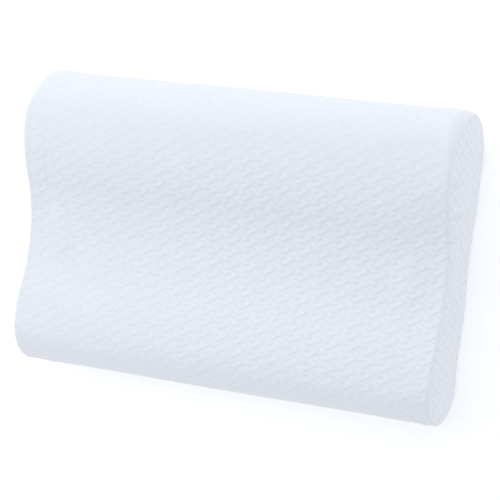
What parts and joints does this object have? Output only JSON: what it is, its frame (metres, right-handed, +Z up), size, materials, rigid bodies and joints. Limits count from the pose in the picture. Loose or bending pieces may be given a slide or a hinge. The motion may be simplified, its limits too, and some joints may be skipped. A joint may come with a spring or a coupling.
{
  "type": "contour bed pillow",
  "caption": "Contour memory-foam bed pillow with a high lobe, a valley and a low lobe, in a removable quilted knit cover with a coil zip.",
  "frame": {"origin": "on the resting face, under the middle of the pillow's bounding box", "axes": "+X along the pillow, +Y to the rear (high lobe), +Z up"},
  "size_m": [0.5, 0.33, 0.108],
  "materials": {
    "foam": "matte open-cell foam skin",
    "liner_knit": "thin matte jersey",
    "cover_knit": "soft matte double-knit jacquard, cool white, puffy herringbone relief",
    "thread": "spun polyester thread",
    "label_satin": "satin ribbon, blank",
    "zip_tape": "woven twill tape",
    "zip_nylon": "satin nylon coil",
    "zip_metal": "white enamelled die casting"
  },
  "bodies": {
    "root": {"foam_core": "foam", "liner_wrap": "liner_knit", "liner_end_left": "liner_knit", "liner_end_right": "liner_knit", "liner_thread_left": "thread", "liner_thread_right": "thread", "cover_top_panel": "cover_knit", "cover_bottom_panel": "cover_knit", "cover_end_left": "cover_knit", "cover_end_right": "cover_knit", "seam_thread_left": "thread", "seam_thread_right": "thread", "seam_thread_front": "thread", "care_label": "label_satin", "zip_tape_lower": "zip_tape", "zip_tape_upper": "zip_tape", "zip_stitch_lower": "thread", "zip_stitch_upper": "thread", "zip_coil_lower": "zip_nylon", "zip_coil_upper": "zip_nylon", "zip_top_stop_lower": "zip_nylon", "zip_top_stop_upper": "zip_nylon", "zip_bottom_stop": "zip_nylon"},
    "slider": {"zip_slider_body": "zip_metal"},
    "pull_tab": {"zip_pull_tab": "zip_metal"}
  },
  "joints": [
    {"name": "zip_slide", "type": "slide", "parent": "root", "child": "slider", "axis": [-1, 0, 0], "range_m": [0, 0.4]},
    {"name": "pull_tab_hinge", "type": "hinge", "parent": "slider", "child": "pull_tab", "pos_m": [0.201, 0.16003, 0.024], "axis": [0, -0.5, -0.866], "range_deg": [0, 180]}
  ]
}
